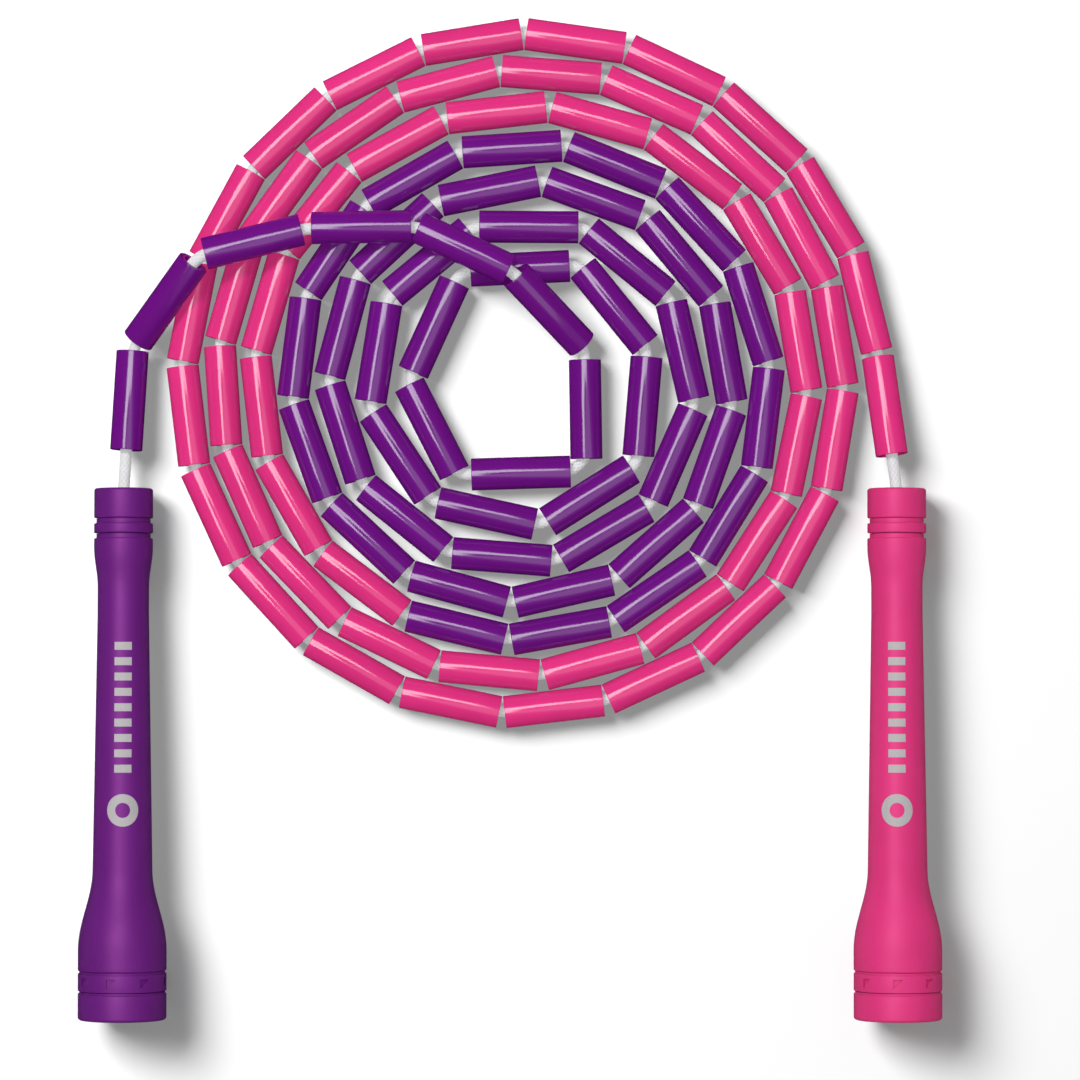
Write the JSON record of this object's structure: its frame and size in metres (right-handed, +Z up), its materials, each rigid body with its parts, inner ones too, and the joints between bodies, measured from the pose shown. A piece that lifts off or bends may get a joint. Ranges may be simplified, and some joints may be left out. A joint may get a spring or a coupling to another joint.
{
  "type": "jump rope",
  "caption": "Beaded jump rope with two hollow waisted handles that spin on the cord, coiled flat, its tube beads pink on one half and purple on the other.",
  "frame": {"origin": "on the table, at the middle of the box that holds the two handles", "axes": "+X from the purple handle to the pink one, +Y along the handles towards their noses, +Z up from the table"},
  "size_m": [0.219, 0.2551, 0.0229],
  "materials": {
    "pink_bead_plastic": "glossy extruded tube",
    "purple_bead_plastic": "glossy extruded tube",
    "pink_handle_plastic": "satin moulded",
    "purple_handle_plastic": "satin moulded",
    "braided_cord": "braided polyester",
    "seal_rubber": "smooth",
    "washer_nylon": "natural nylon",
    "stop_metal": "crimped"
  },
  "bodies": {
    "rope": {"rope_cord": "braided_cord", "pink_beads_1": "pink_bead_plastic", "pink_beads_2": "pink_bead_plastic", "pink_beads_3": "pink_bead_plastic", "pink_beads_4": "pink_bead_plastic", "pink_beads_5": "pink_bead_plastic", "pink_beads_6": "pink_bead_plastic", "pink_beads_7": "pink_bead_plastic", "pink_beads_8": "pink_bead_plastic", "pink_beads_9": "pink_bead_plastic", "pink_beads_10": "pink_bead_plastic", "purple_beads_1": "purple_bead_plastic", "purple_beads_2": "purple_bead_plastic", "purple_beads_3": "purple_bead_plastic", "purple_beads_4": "purple_bead_plastic", "purple_beads_5": "purple_bead_plastic", "purple_beads_6": "purple_bead_plastic", "purple_beads_7": "purple_bead_plastic", "purple_beads_8": "purple_bead_plastic", "purple_beads_9": "purple_bead_plastic", "purple_beads_10": "purple_bead_plastic", "pink_cord_stop": "stop_metal", "purple_cord_stop": "stop_metal"},
    "pink_lead_bead": {"pink_lead_bead": "pink_bead_plastic"},
    "pink_handle": {"pink_grip": "pink_handle_plastic", "pink_nose_ring": "pink_handle_plastic", "pink_nose_cap": "pink_handle_plastic", "pink_butt_band": "pink_handle_plastic", "pink_swivel_washer": "washer_nylon"},
    "pink_cap": {"pink_end_cap": "pink_handle_plastic", "pink_cap_seal": "seal_rubber"},
    "purple_lead_bead": {"purple_lead_bead": "purple_bead_plastic"},
    "purple_handle": {"purple_grip": "purple_handle_plastic", "purple_nose_ring": "purple_handle_plastic", "purple_nose_cap": "purple_handle_plastic", "purple_butt_band": "purple_handle_plastic", "purple_swivel_washer": "washer_nylon"},
    "purple_cap": {"purple_end_cap": "purple_handle_plastic", "purple_cap_seal": "seal_rubber"}
  },
  "joints": [
    {"name": "pink_lead_bead_slide", "type": "slide", "parent": "rope", "child": "pink_lead_bead", "axis": [0.1333, -0.9865, 0.0952], "range_m": [0, 0.0076]},
    {"name": "pink_handle_spin", "type": "hinge", "parent": "rope", "child": "pink_handle", "pos_m": [0.09835, 0.06743, 0.00743], "axis": [0, 0.9995, -0.0321], "continuous": true},
    {"name": "pink_cap_pull", "type": "slide", "parent": "pink_handle", "child": "pink_cap", "axis": [0, -0.9995, 0.0321], "range_m": [0, 0.01]},
    {"name": "purple_lead_bead_slide", "type": "slide", "parent": "rope", "child": "purple_lead_bead", "axis": [-0.0596, -0.9966, 0.0562], "range_m": [0, 0.0088]},
    {"name": "purple_handle_spin", "type": "hinge", "parent": "rope", "child": "purple_handle", "pos_m": [-0.09835, 0.06743, 0.00743], "axis": [0, 0.9995, -0.0321], "continuous": true},
    {"name": "purple_cap_pull", "type": "slide", "parent": "purple_handle", "child": "purple_cap", "axis": [0, -0.9995, 0.0321], "range_m": [0, 0.01]}
  ]
}
